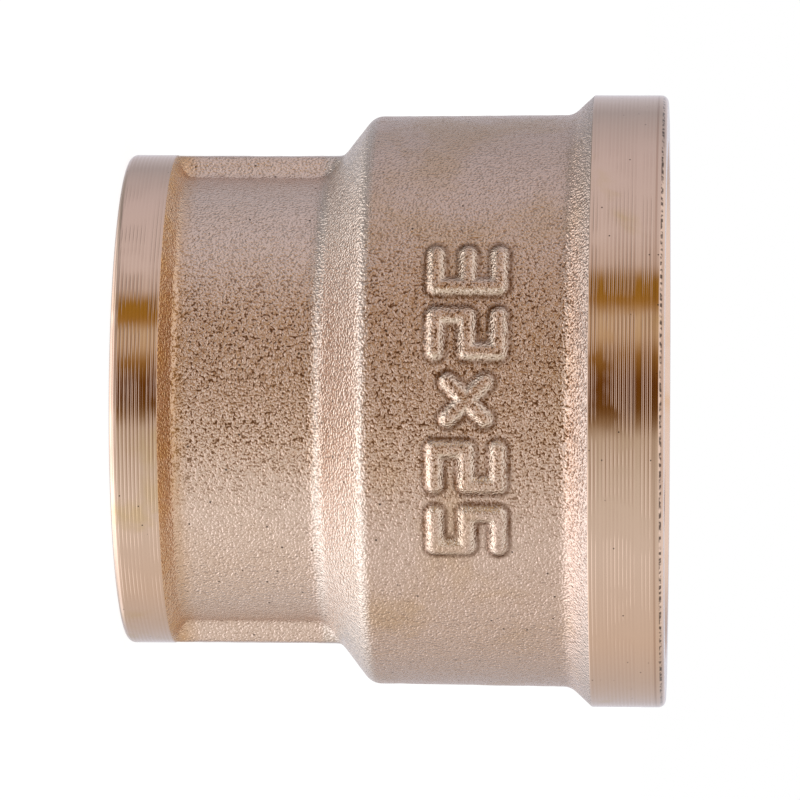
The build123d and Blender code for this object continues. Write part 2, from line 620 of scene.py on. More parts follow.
@dataclass(frozen=True)
class SocketThread:
    """A right-hand pipe thread inside a socket, made as the groove that a tool would cut.

    Attributes:
        bore_radius: The crest radius.
        pitch: The distance from crest to crest.
        depth: The groove's depth.
        length: How far the thread reaches into the socket.
        flank_angle: The angle of a flank, in degrees.
        flat: The width of the groove's bottom.
        overlap: How far the groove's section reaches into the bore.
        turn_steps: The number of steps in a turn.
    """

    bore_radius: float
    pitch: float
    depth: float
    length: float
    flank_angle: float = 27.5
    flat: float = 0.385
    overlap: float = 0.1
    turn_steps: int = 112

    def section(self) -> list[tuple[float, float]]:
        """Draw the groove's section: straight flanks with a rounded bottom.

        Returns:
            Its (radius, height) points, from the lower flank to the upper one.
        """
        slope = math.tan(math.radians(self.flank_angle))
        inner = self.flat / 2.0 + (self.depth + self.overlap) * slope
        shallow = self.depth - self.flat / 2.0
        outer = self.flat / 2.0 + (self.depth - shallow) * slope
        return [
            (self.bore_radius - self.overlap, -inner),
            (self.bore_radius + shallow, -outer),
            (self.bore_radius + self.depth - self.flat / 8.0, -self.flat / 3.0),
            (self.bore_radius + self.depth, 0.0),
            (self.bore_radius + self.depth - self.flat / 8.0, self.flat / 3.0),
            (self.bore_radius + shallow, outer),
            (self.bore_radius - self.overlap, inner),
        ]

    def run_out(self, place: Vector) -> float:
        """How far a point of the cutter has left the wall.

        Args:
            place: The point.

        Returns:
            A share from 0, one radian before the thread's end, to 1 at its end.
        """
        if place.z < self.length - self.pitch / 2.0:
            return 0.0
        left = -math.atan2(place.y, place.x) if place.y < 0.0 else 0.0
        behind = place.y > 1.0 or place.x < 0.0
        return 0.0 if behind else 1.0 - ease(left, 0.0, 1.0)

    def cutter(self, name: str) -> bpy.types.Object:
        """Make the solid that cuts the groove out of a bore which opens downwards at height 0.

        Args:
            name: The cutter's name.

        Returns:
            The closed cutter, which starts outside the mouth and runs out at the thread's end.
        """
        turns = math.ceil(self.length / self.pitch) + 1
        bottom = self.length - turns * self.pitch
        cutter = draw_chain(name, [(radius, height + bottom) for radius, height in self.section()])
        screw = cutter.modifiers.new("turns", "SCREW")
        screw.angle = 2.0 * math.pi * turns
        screw.screw_offset = turns * self.pitch * MM
        screw.steps = screw.render_steps = turns * self.turn_steps
        finish_modifier(cutter, screw)
        edit(cutter)
        bpy.ops.mesh.select_all(action="SELECT")
        bpy.ops.mesh.fill_holes(sides=0)
        bpy.ops.mesh.select_all(action="SELECT")
        bpy.ops.mesh.normals_make_consistent(inside=False)
        leave_edit()
        paint_group(cutter, "run_out", self.run_out)
        push(cutter, "run_out", "X", -1.5 * self.depth)
        return cutter


@dataclass
class Casting:
    """The coupling's one piece: a casting with turned ends and a cut thread in each socket.

    Attributes:
        sizes: The driving sizes.
        ribs: The moulding ribs.
        mark: The raised size mark.
        plain_step: The angle between two columns of faces on plain surfaces, in degrees.
        flank_steps: The number of columns across a rib's flank.
        mark_cuts: The number of cuts that refine each face under the mark.
        skin_unevenness: The height of the casting's waves.
        skin_wave: The length of the casting's waves.
    """

    sizes: CouplingSizes
    ribs: MouldingRibs
    mark: SizeMark
    plain_step: float = 1.5
    flank_steps: int = 12
    mark_cuts: int = 3
    skin_unevenness: float = 0.07
    skin_wave: float = 1.5

    def revolve(self) -> bpy.types.Object:
        """Draw the outline and spin it round the axis, with closer columns across the ribs' flanks.

        Returns:
            The closed plain body.
        """
        body = draw_chain("coupling", outline_points(self.sizes.corners()))
        barrel = self.sizes.small_body_radius
        near = math.asin((self.ribs.width - self.ribs.flank) / 2.0 / barrel)
        far = math.asin((self.ribs.width + self.ribs.flank) / 2.0 / barrel)
        plain = math.pi - 2.0 * far
        plain_steps = math.ceil(math.degrees(plain) / self.plain_step)
        crest_steps = math.ceil(math.degrees(near) / self.plain_step)
        half_turn = [(near, crest_steps), (far - near, self.flank_steps), (plain, plain_steps),
                     (far - near, self.flank_steps), (near, crest_steps)]
        edit(body)
        bpy.ops.mesh.select_all(action="SELECT")
        for angle, steps in half_turn * 2:
            bpy.ops.mesh.spin(steps=steps, angle=angle, center=(0.0, 0.0, 0.0), axis=(0.0, 0.0, 1.0))
        bpy.ops.mesh.select_all(action="SELECT")
        bpy.ops.mesh.remove_doubles(threshold=MM / 1000.0)
        bpy.ops.mesh.normals_make_consistent(inside=False)
        leave_edit()
        return body

    def raise_ribs(self, body: bpy.types.Object) -> None:
        """Push the two ribs out of the small barrel.

        Args:
            body: The plain body.
        """
        for name, sign in (("rib_right", 1.0), ("rib_left", -1.0)):
            paint_group(body, name, lambda place: self.ribs.lift(place) * (place.x * sign > 0.0))
            push(body, name, "X", sign * self.ribs.height)

    def raise_mark(self, body: bpy.types.Object) -> None:
        """Refine the faces under the size mark and push its strokes out of the large barrel.

        Args:
            body: The body with its ribs.
        """
        edit(body, "FACE")
        margin = self.mark.edge + 2.0 * math.radians(self.plain_step) * self.sizes.large_body_radius
        select_faces(body, lambda place: self.mark.near(place / MM, margin))
        bpy.ops.mesh.subdivide(number_cuts=self.mark_cuts)
        leave_edit()
        paint_group(body, "mark", lambda place: self.mark.lift(place))
        push(body, "mark", "NORMAL", self.mark.relief)

    def cast_weight(self, place: Vector) -> float:
        """How much of the casting's unevenness shows at a point.

        Args:
            place: The point.

        Returns:
            A share from 0 to 1, which is 0 on machined surfaces.
        """
        sizes = self.sizes
        radius = math.hypot(place.x, place.y)
        if radius > sizes.small_body_radius - OUTSIDE_SLACK:
            low = ease(place.z, sizes.small_collar_width, sizes.small_collar_width + sizes.neck_length)
            high = 1.0 - ease(place.z, sizes.flare_bottom, sizes.large_collar_bottom)
            return low * high
        if sizes.small_bore_top + 0.2 < place.z < sizes.large_bore_bottom - 0.2:
            return 1.0 if radius < sizes.large_bore_radius - sizes.core_step / 2.0 else 0.0
        return 0.0

    def roughen(self, body: bpy.types.Object) -> None:
        """Give the cast surfaces the slight waves of a sand casting.

        Args:
            body: The body before its threads are cut.
        """
        waves = bpy.data.textures.new("casting_waves", "CLOUDS")
        waves.noise_scale = self.skin_wave * MM
        waves.noise_depth = 2
        paint_group(body, "cast", self.cast_weight)
        displace = body.modifiers.new("cast", "DISPLACE")
        displace.texture = waves
        displace.texture_coords = "LOCAL"
        displace.vertex_group = "cast"
        displace.mid_level = 0.5
        displace.strength = self.skin_unevenness * MM
        finish_modifier(body, displace)

    def cut_threads(self, body: bpy.types.Object) -> None:
        """Cut the thread of each socket out of its bore.

        Args:
            body: The body with plain bores.
        """
        sizes = self.sizes
        sockets = (
            ("small_socket", sizes.small_bore_radius, sizes.small_thread_length, False),
            ("large_socket", sizes.large_bore_radius, sizes.large_thread_length, True),
        )
        for name, radius, length, opens_up in sockets:
            thread = SocketThread(radius, sizes.thread_pitch, sizes.thread_depth, length)
            cutter = thread.cutter(name + "_thread")
            if opens_up:
                edit(cutter)
                bpy.ops.mesh.select_all(action="SELECT")
                bpy.ops.transform.rotate(value=math.pi, orient_axis="X", center_override=(0.0, 0.0, 0.0))
                bpy.ops.transform.translate(value=metres((0.0, 0.0, sizes.length)))
                leave_edit()
            cut = body.modifiers.new(name, "BOOLEAN")
            cut.operation = "DIFFERENCE"
            cut.solver = "EXACT"
            cut.object = cutter
            finish_modifier(body, cut)
            bpy.data.objects.remove(cutter)

    def finish_at(self, place: Vector) -> Finish:
        """The finish of the surface at a point.

        Args:
            place: The centre of a face.

        Returns:
            The finish that the face takes.
        """
        sizes = self.sizes
        slope_radius = sizes.small_body_radius + (place.z - sizes.shoulder_bottom) * sizes.shoulder_slope
        outer = max(sizes.small_body_radius, min(slope_radius, sizes.barrel_radius(place.z)))
        outside = math.hypot(place.x, place.y) > outer - sizes.small_body_wall / 2.0
        if outside or place.z < HEIGHT_SLACK or place.z > sizes.length - HEIGHT_SLACK:
            turned = place.z < sizes.small_collar_width or place.z > sizes.large_collar_bottom
            return Finish.TURNED_BAND if turned else Finish.CAST_SKIN
        if sizes.small_bore_top + 0.05 < place.z < sizes.large_bore_bottom - 0.05:
            return Finish.CAST_CORE
        return Finish.CUT_THREAD

    def dress(self, body: bpy.types.Object, finishes: dict[Finish, bpy.types.Material]) -> None:
        """Give every face its finish and smooth the shading, leaving true corners sharp.

        Args:
            body: The finished mesh.
            finishes: The material of each finish.
        """
        body.data.materials.clear()
        for finish in Finish:
            body.data.materials.append(finishes[finish])
        for polygon in body.data.polygons:
            polygon.material_index = self.finish_at(polygon.center / MM).value
        residue = body.data.attributes.new("residue", "FLOAT", "POINT")
        # The painted highlight along the mark's stroke edges, kept beside the residue.
        stroke_highlight = body.data.attributes.new("stroke_highlight", "FLOAT", "POINT")
        for vertex in body.data.vertices:
            residue.data[vertex.index].value = self.mark.residue(vertex.co / MM)
            stroke_highlight.data[vertex.index].value = self.mark.stroke_highlight(vertex.co / MM)
        choose(body)
        bpy.ops.object.shade_smooth_by_angle(angle=math.radians(35.0))

    def build(self, finishes: dict[Finish, bpy.types.Material]) -> bpy.types.Object:
        """Model the whole piece.

        Args:
            finishes: The material of each finish.

        Returns:
            The coupling, with its place in its mesh.
        """
        body = self.revolve()
        self.raise_ribs(body)
        self.raise_mark(body)
        self.roughen(body)
        self.cut_threads(body)
        self.dress(body, finishes)
        return body


# --------------------------------------------------------------------------------------------------------
# Node sheets and shared effects
# --------------------------------------------------------------------------------------------------------

Colour = tuple[float, float, float]
Socket = bpy.types.NodeSocket


def rgba(colour: Colour) -> tuple[float, float, float, float]:
    """A colour with full alpha."""
    return (*colour, 1.0)


class Sheet:
    """A node tree with short calls for placing and joining its nodes."""

    def __init__(self, tree: bpy.types.NodeTree) -> None:
        """Take an empty node tree."""
        self.tree = tree

    def feed(self, node: bpy.types.Node, inputs: dict) -> None:
        """Fill a node's inputs.

        Args:
            node: The node.
            inputs: Values or other nodes' sockets for its inputs, by name or number.
        """
        for name, value in inputs.items():
            if isinstance(value, Socket):
                self.tree.links.new(value, node.inputs[name])
            else:
                node.inputs[name].default_value = value

    def add(self, kind: str, inputs: dict | None = None, **settings: object) -> bpy.types.Node:
        """Place a node.

        Args:
            kind: The node's type without its ShaderNode prefix.
            inputs: Values or other nodes' sockets for its inputs, by name or number.
            **settings: The node's own properties.

        Returns:
            The new node.
        """
        node = self.tree.nodes.new("ShaderNode" + kind)
        for name, value in settings.items():
            setattr(node, name, value)
        self.feed(node, inputs or {})
        return node

    def use(self, group: bpy.types.NodeTree, **inputs: object) -> bpy.types.NodeOutputs:
        """Place a shared node group.

        Args:
            group: The group.
            **inputs: Values or other nodes' sockets for its inputs.

        Returns:
            The group's outputs.
        """
        node = self.tree.nodes.new("ShaderNodeGroup")
        node.node_tree = group
        self.feed(node, inputs)
        return node.outputs

    def math(self, operation: str, *values: object) -> Socket:
        """Place a Math node and return its result."""
        return self.add("Math", dict(enumerate(values)), operation=operation).outputs[0]

    def times(self, first: object, second: object) -> Socket:
        """Multiply two values."""
        return self.math("MULTIPLY", first, second)

    def line(self, value: object, slope: float, start: float) -> Socket:
        """Multiply a value by slope and add start."""
        return self.math("MULTIPLY_ADD", value, slope, start)

    def blend(self, factor: object, first: object, second: object) -> Socket:
        """Lay a colour over another one. Each is a socket or a plain colour.

        Args:
            factor: How much of the second colour shows.
            first: The colour below.
            second: The colour laid over it.

        Returns:
            The mixed colour.
        """
        below, over = (colour if isinstance(colour, Socket) else rgba(colour) for colour in (first, second))
        return self.add("Mix", {0: factor, 6: below, 7: over}, data_type="RGBA").outputs[2]

    def coat(self, colour: object, layers: tuple[tuple[Socket, Colour], ...]) -> Socket:
        """Lay one colour after another over a first one.

        Args:
            colour: The first colour.
            layers: Each layer's mask and colour, from the lowest up.

        Returns:
            The mixed colour.
        """
        for mask, tint in layers:
            colour = self.blend(mask, colour, tint)
        return colour

    def spread(self, value: object, low: object, high: object) -> Socket:
        """Map low..high to 0..1 smoothly; low may be above high.

        Args:
            value: The value to map.
            low: Where the result is 0.
            high: Where the result is 1.

        Returns:
            The mapped value.
        """
        node = self.add("MapRange", {0: value, 1: low, 2: high}, interpolation_type="SMOOTHSTEP")
        return node.outputs[0]

    def axes(self, vector: object) -> bpy.types.NodeOutputs:
        """Take a vector apart into its X, Y and Z."""
        return self.add("SeparateXYZ", {0: vector}).outputs

    def noise(self, **inputs: object) -> Socket:
        """Place a Noise Texture and return its value."""
        return self.add("TexNoise", inputs).outputs[0]


@dataclass(frozen=True)
class GroupPlan:
    """What a node group is called and what goes in and out of it.

    Attributes:
        name: The group's name.
        outputs: The names of its outputs, which are all plain values.
        numbers: The names and defaults of its number inputs, beside the Vector that each group has.
    """

    name: str
    outputs: tuple[str, ...]
    numbers: tuple[tuple[str, float], ...] = ()

    def start(self) -> tuple[Sheet, bpy.types.NodeOutputs, bpy.types.NodeInputs]:
        """Make the group, empty but for its two ends.

        Returns:
            Its sheet, its inputs to read from and its outputs to feed.
        """
        group = bpy.data.node_groups.new(self.name, "ShaderNodeTree")
        group.interface.new_socket("Vector", in_out="INPUT", socket_type="NodeSocketVector")
        for label, default in self.numbers:
            socket = group.interface.new_socket(label, in_out="INPUT", socket_type="NodeSocketFloat")
            socket.default_value = default
        for label in self.outputs:
            group.interface.new_socket(label, in_out="OUTPUT", socket_type="NodeSocketFloat")
        source = group.nodes.new("NodeGroupInput").outputs
        result = group.nodes.new("NodeGroupOutput").inputs
        return Sheet(group), source, result


def blasted_grain() -> bpy.types.NodeTree:
    """Node group: the dimpled height of a shot-blasted casting, with masks of its pits and hollows.

    Returns:
        The group.
    """
    plan = GroupPlan("blasted_grain", ("Height", "Pits", "Hollows"), (("Scale", 3000.0),))
    sheet, source, result = plan.start()
    place, scale = source["Vector"], source["Scale"]
    dimples = {"Vector": place, "Scale": scale, "Smoothness": 0.35}
    cells = sheet.add("TexVoronoi", dimples, feature="SMOOTH_F1")
    fine = sheet.noise(Vector=place, Scale=scale, Detail=0.7, Roughness=0.6)
    coarse = sheet.noise(Vector=place, Scale=sheet.times(scale, 0.3), Detail=2.0)
    height = sheet.math("MULTIPLY_ADD", cells.outputs[0], 0.4, sheet.times(fine, 1.4))
    height = sheet.math("MULTIPLY_ADD", coarse, 0.5, height)
    sheet.tree.links.new(height, result["Height"])
    sheet.tree.links.new(sheet.spread(fine, 0.44, 0.33), result["Pits"])
    sheet.tree.links.new(sheet.spread(fine, 0.56, 0.4), result["Hollows"])
    return sheet.tree


def tool_lines() -> bpy.types.NodeTree:
    """Node group: the circular lines that a lathe tool leaves, on collars and on end faces alike.

    Returns:
        The group.
    """
    plan = GroupPlan("tool_lines", ("Height", "Streaks"), (("Scale", 4000.0),))
    sheet, source, result = plan.start()
    place = source["Vector"]
    x, y, z = sheet.axes(place)
    across = sheet.math("SQRT", sheet.math("ADD", sheet.times(x, x), sheet.times(y, y)))
    wander = sheet.noise(Vector=place, Scale=90.0, Detail=1.0)
    travel = sheet.math("MULTIPLY_ADD", wander, 0.04 * MM, sheet.math("ADD", across, z))
    count = sheet.times(travel, source["Scale"])
    feed = sheet.spread(sheet.math("SINE", sheet.times(count, 2.0 * math.pi)), -0.4, 1.0)
    slow = sheet.add("TexNoise", {"W": count, "Scale": 0.3, "Detail": 1.0, "Roughness": 0.6},
                     noise_dimensions="1D").outputs[0]
    breaks = sheet.noise(Vector=place, Scale=260.0, Detail=2.0)
    depth = sheet.times(sheet.spread(breaks, 0.2, 0.55), sheet.spread(slow, 0.1, 0.6))
    height = sheet.math("MULTIPLY_ADD", feed, depth, sheet.times(slow, 0.25))
    sheet.tree.links.new(height, result["Height"])
    sheet.tree.links.new(sheet.times(sheet.spread(feed, 0.5, 0.0), depth), result["Streaks"])
    return sheet.tree


def tarnish_patches() -> bpy.types.NodeTree:
    """Node group: soft-edged patches of tarnish, as a mask.

    Returns:
        The group.
    """
    plan = GroupPlan("tarnish_patches", ("Mask",), (("Scale", 120.0), ("Start", 0.55), ("Full", 0.75)))
    sheet, source, result = plan.start()
    broad = sheet.noise(Vector=source["Vector"], Scale=source["Scale"], Detail=4.0, Roughness=0.6,
                        Distortion=0.4)
    sheet.tree.links.new(sheet.spread(broad, source["Start"], source["Full"]), result["Mask"])
    return sheet.tree


def scattered_specks() -> bpy.types.NodeTree:
    """Node group: tiny separate dark specks, as a mask.

    Returns:
        The group.
    """
    plan = GroupPlan("scattered_specks", ("Mask",), (("Scale", 1500.0), ("Size", 0.16), ("Share", 0.25)))
    sheet, source, result = plan.start()
    cells = sheet.add("TexVoronoi", {"Vector": source["Vector"], "Scale": source["Scale"]})
    inside = sheet.math("LESS_THAN", cells.outputs["Distance"], source["Size"])
    chance = sheet.add("SeparateColor", {0: cells.outputs["Color"]}).outputs[0]
    kept = sheet.math("LESS_THAN", chance, source["Share"])
    sheet.tree.links.new(sheet.times(inside, kept), result["Mask"])
    return sheet.tree


def painted_opening_band() -> bpy.types.NodeTree:
    """Node group: a soft band down the front, towards the camera, as a mask for painted reflection of the
    studio's dark opening.

    Returns:
        The group.
    """
    sheet, source, result = GroupPlan("painted_opening_band", ("Mask",)).start()
    x, y, _ = sheet.axes(source["Vector"])
    bearing = sheet.math("ARCTAN2", x, sheet.times(y, -1.0))
    left, right = sheet.spread(bearing, -0.75, -0.3), sheet.spread(bearing, 0.55, 0.1)
    sheet.tree.links.new(sheet.times(left, right), result["Mask"])
    return sheet.tree


@dataclass(frozen=True)
class Effects:
    """The shared node groups, each built once.

    Attributes:
        grain: The dimples of shot blasting.
        lines: The lines of a lathe tool.
        patches: Patches of tarnish.
        specks: Dark specks.
        front: The band down the front that takes painted reflection of the studio's dark opening.
    """

    grain: bpy.types.NodeTree = field(default_factory=blasted_grain)
    lines: bpy.types.NodeTree = field(default_factory=tool_lines)
    patches: bpy.types.NodeTree = field(default_factory=tarnish_patches)
    specks: bpy.types.NodeTree = field(default_factory=scattered_specks)
    front: bpy.types.NodeTree = field(default_factory=painted_opening_band)


# --------------------------------------------------------------------------------------------------------
# Finishes
# --------------------------------------------------------------------------------------------------------

BRIGHT_BRASS = (0.77, 0.57, 0.465)
WARM_BRASS = (0.72, 0.47, 0.30)
BROWN_TARNISH = (0.26, 0.11, 0.045)
SOOT = (0.035, 0.02, 0.014)


@dataclass(frozen=True)
class Blank:
    """An empty material, ready for a finish's own nodes.

    Attributes:
        sheet: Its sheet.
        place: The Object coordinates.
        level: The height above the small end, in metres.
        effects: The shared node groups.
        sizes: The coupling's sizes.
    """

    sheet: Sheet
    place: Socket
    level: Socket
    effects: Effects
    sizes: CouplingSizes


Look = tuple[Socket, object, Socket]


@dataclass(frozen=True)
class BrassFinish:
    """What the coupling's finishes share: one metal shader with a fine relief.

    Attributes:
        name: The material's name.
        roughness: The roughness of the clean metal.
        relief: The height of the fine relief.
        fineness: The number of the relief's features in a metre.
    """

    name: str
    roughness: float
    relief: float
    fineness: float

    def surface(self, blank: Blank) -> Look:
        """Lay out the finish's own nodes.

        Args:
            blank: The empty material.

        Returns:
            The colour, the roughness and the height of the relief.
        """
        raise NotImplementedError(self.name)

    def make(self, effects: Effects, sizes: CouplingSizes) -> bpy.types.Material:
        """Make the material.

        Args:
            effects: The shared node groups.
            sizes: The coupling's sizes.

        Returns:
            The material.
        """
        material = bpy.data.materials.new(self.name)
        material.use_nodes = True
        material.node_tree.nodes.clear()
        sheet = Sheet(material.node_tree)
        place = sheet.add("TexCoord").outputs["Object"]
        blank = Blank(sheet, place, sheet.axes(place)[2], effects, sizes)
        colour, roughness, height = self.surface(blank)
        bump = sheet.add("Bump", {"Strength": 1.0, "Distance": self.relief * MM, "Height": height})
        shader = sheet.add("BsdfPrincipled", {"Metallic": 1.0, "Base Color": colour, "Roughness": roughness,
                                              "Normal": bump.outputs[0]})
        sheet.add("OutputMaterial", {"Surface": shader.outputs[0]})
        return material


@dataclass(frozen=True)
class CastSkin(BrassFinish):
    """Shot-blasted as-cast brass, with residue round the mark and in the neck. Painted reflection of the
    studio's dark opening darkens the front and its dimples, and painted highlights pale the shoulder, the
    flare and the mark's stroke edges.

    Attributes:
        metal: The blasted brass.
        metal_warm: The same in its larger patches of tarnish.
        clean: The paler skin of the small barrel.
        slope: A paler tone on the shoulder: painted highlight, for the whitish sheen of its lit slope.
        flared: An even, less saturated tone laid over the flare's grain: painted highlight, for the whitish
            sheen of its lit slope.
        painted_opening_tint: The darker, warmer tone down the front: painted reflection of the studio's dark
            opening.
        rust: The sides of the dimples.
        pit: The bottoms of the dimples, and the residue round the mark.
        neck: The golden residue behind the small collar.
        edge_highlight: The pale line along the mark's stroke edges: painted highlight.
        pit_roughness: How much rougher a dimple's bottom is.
    """

    name: str = "cast_skin"
    roughness: float = 0.2
    relief: float = 0.082
    fineness: float = 5200.0
    metal: Colour = (0.69, 0.525, 0.45)
    metal_warm: Colour = (0.64, 0.46, 0.34)
    clean: Colour = (0.80, 0.63, 0.545)
    slope: Colour = (0.73, 0.625, 0.56)
    flared: Colour = (0.53, 0.435, 0.39)
    painted_opening_tint: Colour = (0.66, 0.47, 0.36)
    rust: Colour = (0.50, 0.25, 0.10)
    pit: Colour = (0.13, 0.05, 0.015)
    neck: Colour = (0.66, 0.36, 0.13)
    edge_highlight: Colour = (0.88, 0.76, 0.64)
    pit_roughness: float = 0.15

    def surface(self, blank: Blank) -> Look:
        """Colour the casting from its clean metal outwards to the dirt that lies on it, with painted
        reflection down the front and painted highlights on the shoulder, the flare and the mark's edges.

        Args:
            blank: The empty material.

        Returns:
            The colour, the roughness and the height of the relief.
        """
        sheet, place, effects = blank.sheet, blank.place, blank.effects
        level, sizes = blank.level, blank.sizes
        grain = sheet.use(effects.grain, Vector=place, Scale=self.fineness)
        patches = sheet.use(effects.patches, Vector=place, Scale=95.0, Start=0.47, Full=0.68)["Mask"]
        stain = sheet.use(effects.patches, Vector=place, Scale=420.0, Start=0.4, Full=0.7)["Mask"]
        specks = sheet.use(effects.specks, Vector=place, Scale=1100.0, Size=0.11, Share=0.25)["Mask"]
        slope_starts = sheet.spread(level, (sizes.shoulder_bottom - 0.7) * MM, sizes.shoulder_bottom * MM)
        slope_ends = sheet.spread(level, (sizes.shoulder_top + 0.8) * MM, sizes.shoulder_top * MM)
        on_slope = sheet.times(slope_starts, slope_ends)
        low_end = sheet.spread(level, (sizes.shoulder_bottom + 0.5) * MM, (sizes.shoulder_bottom - 1.0) * MM)
        # Painted reflection: a darker, warmer tone and deeper dimples down the front, where the studio's
        # dark opening reflects; less of it on the shoulder.
        front_reflection = sheet.use(effects.front, Vector=place)["Mask"]
        front_reflection = sheet.times(front_reflection, sheet.line(on_slope, -0.75, 1.0))
        neck = sheet.spread(level, (sizes.small_collar_width + 2.6) * MM, sizes.small_collar_width * MM)
        flare = sheet.spread(level, sizes.flare_bottom * MM, sizes.large_collar_bottom * MM)
        residue = sheet.add("Attribute", attribute_name="residue").outputs["Fac"]
        edge_highlight_mask = sheet.add("Attribute", attribute_name="stroke_highlight").outputs["Fac"]
        layers = (
            (patches, self.metal_warm),
            (sheet.times(low_end, 0.75), self.clean),
            # Painted highlight: the shoulder paler, for the whitish sheen of its lit slope.
            (sheet.times(on_slope, 0.85), self.slope),
            # Painted reflection: the darker, warmer tone down the front.
            (sheet.times(front_reflection, 0.45), self.painted_opening_tint),
            # The dimples' own dark oxide everywhere, made much stronger down the front as painted
            # reflection.
            (sheet.times(grain["Hollows"], sheet.line(front_reflection, 0.4, 0.06)), self.rust),
            (sheet.times(grain["Pits"], sheet.line(front_reflection, 0.7, 0.25)), self.pit),
            (sheet.times(specks, 0.8), SOOT),
            # Painted highlight: the flare's grain covered by an even, less saturated tone.
            (sheet.times(flare, 0.8), self.flared),
            (sheet.times(neck, sheet.line(stain, 0.3, 0.6)), self.neck),
            # Painted highlight: a pale line along the mark's stroke edges.
            (sheet.times(edge_highlight_mask, 0.6), self.edge_highlight),
            (sheet.times(residue, sheet.line(stain, 0.45, 0.55)), self.pit),
        )
        colour = sheet.coat(self.metal, layers)
        return colour, sheet.line(grain["Pits"], self.pit_roughness, self.roughness), grain["Height"]


@dataclass(frozen=True)
class TurnedBand(BrassFinish):
    """Bright turned brass with tool lines, pores, faint golden tarnish and a dark line by the large end.

    Attributes:
        metal: The clean brass.
        golden: The tarnish.
        tarnish_roughness: How much rougher the tarnish is.
        rim_gap: How far below the large end the broken dark line runs.
        burr_gap: How far below the large end the faint brown line runs.
    """

    name: str = "turned_band"
    roughness: float = 0.1
    relief: float = 0.014
    fineness: float = 3300.0
    metal: Colour = BRIGHT_BRASS
    golden: Colour = (0.66, 0.47, 0.22)
    tarnish_roughness: float = 0.06
    rim_gap: float = 0.3
    burr_gap: float = 0.75

    def ring(self, blank: Blank, drop: float, reach: float) -> Socket:
        """Mask a thin ring round the large collar.

        Args:
            blank: The material.
            drop: How far below the large end the ring runs.
            reach: How far from there it fades out.

        Returns:
            The mask.
        """
        sheet = blank.sheet
        offset = sheet.math("SUBTRACT", blank.level, (blank.sizes.length - drop) * MM)
        return sheet.spread(sheet.math("ABSOLUTE", offset), reach * MM, 0.05 * MM)

    def surface(self, blank: Blank) -> Look:
        """Colour the turned metal with its tarnish, its streaks and the lines by the large end; the streaks
        are deepened down the front as painted reflection.

        Args:
            blank: The empty material.

        Returns:
            The colour, the roughness and the height of the relief.
        """
        sheet, place, effects = blank.sheet, blank.place, blank.effects
        lines = sheet.use(effects.lines, Vector=place, Scale=self.fineness)
        patches = sheet.use(effects.patches, Vector=place, Scale=140.0, Start=0.56, Full=0.74)["Mask"]
        specks = sheet.use(effects.specks, Vector=place, Scale=1300.0, Size=0.09, Share=0.2)["Mask"]
        front_reflection = sheet.use(effects.front, Vector=place)["Mask"]
        dashes = sheet.noise(Vector=place, Scale=1.0 / (0.35 * MM), Detail=3.0)
        rim, burr = self.ring(blank, self.rim_gap, 0.13), self.ring(blank, self.burr_gap, 0.12)
        layers = (
            (sheet.times(patches, 0.5), self.golden),
            # Painted reflection: the tool streaks run deeper down the front, where the studio's dark opening
            # reflects; elsewhere they are the metal's own marks.
            (sheet.times(lines["Streaks"], sheet.line(front_reflection, 0.46, 0.08)), BROWN_TARNISH),
            (sheet.times(sheet.times(rim, sheet.spread(dashes, 0.42, 0.6)), 0.85), SOOT),
            (sheet.times(burr, 0.35), BROWN_TARNISH),
            (sheet.times(specks, 0.8), SOOT),
        )
        colour = sheet.coat(self.metal, layers)
        return colour, sheet.line(patches, self.tarnish_roughness, self.roughness), lines["Height"]


@dataclass(frozen=True)
class CutThread(BrassFinish):
    """Freshly cut thread: bright, with fine chatter lines.

    Attributes:
        metal: The clean brass.
        tarnish: The brass in its larger patches of tarnish.
        tarnish_roughness: How much rougher the tarnish is.
    """

    name: str = "cut_thread"
    roughness: float = 0.24
    relief: float = 0.005
    fineness: float = 6000.0
    metal: Colour = BRIGHT_BRASS
    tarnish: Colour = WARM_BRASS
    tarnish_roughness: float = 0.1

    def surface(self, blank: Blank) -> Look:
        """Colour the cut metal, a little warmer in patches.

        Args:
            blank: The empty material.

        Returns:
            The colour, the roughness and the height of the relief.
        """
        sheet, place, effects = blank.sheet, blank.place, blank.effects
        lines = sheet.use(effects.lines, Vector=place, Scale=self.fineness)
        patches = sheet.use(effects.patches, Vector=place, Scale=160.0, Start=0.5, Full=0.75)["Mask"]
        colour = sheet.blend(patches, self.metal, self.tarnish)
        return colour, sheet.line(patches, self.tarnish_roughness, self.roughness), lines["Height"]


@dataclass(frozen=True)
class CastCore(BrassFinish):
    """The rougher, duller surface that the sand core left inside.

    Attributes:
        metal: The brass.
        stain: Its stains.
    """

    name: str = "cast_core"
    roughness: float = 0.55
    relief: float = 0.06
    fineness: float = 2600.0
    metal: Colour = WARM_BRASS
    stain: Colour = BROWN_TARNISH

    def surface(self, blank: Blank) -> Look:
        """Colour the passage between the sockets.

        Args:
            blank: The empty material.

        Returns:
            The colour, the roughness and the height of the relief.
        """
        sheet, place, effects = blank.sheet, blank.place, blank.effects
        grain = sheet.use(effects.grain, Vector=place, Scale=self.fineness)
        stains = sheet.use(effects.patches, Vector=place, Scale=260.0, Start=0.42, Full=0.7)["Mask"]
        colour = sheet.blend(sheet.times(stains, 0.6), self.metal, self.stain)
        return colour, self.roughness, grain["Height"]


def make_finishes(sizes: CouplingSizes) -> dict[Finish, bpy.types.Material]:
    """Make the material of every finish.

    Args:
        sizes: The coupling's sizes.

    Returns:
        The materials by finish.
    """
    effects = Effects()
    finishes = {
        Finish.CAST_SKIN: CastSkin(),
        Finish.TURNED_BAND: TurnedBand(),
        Finish.CUT_THREAD: CutThread(),
        Finish.CAST_CORE: CastCore(),
    }
    return {place: finish.make(effects, sizes) for place, finish in finishes.items()}


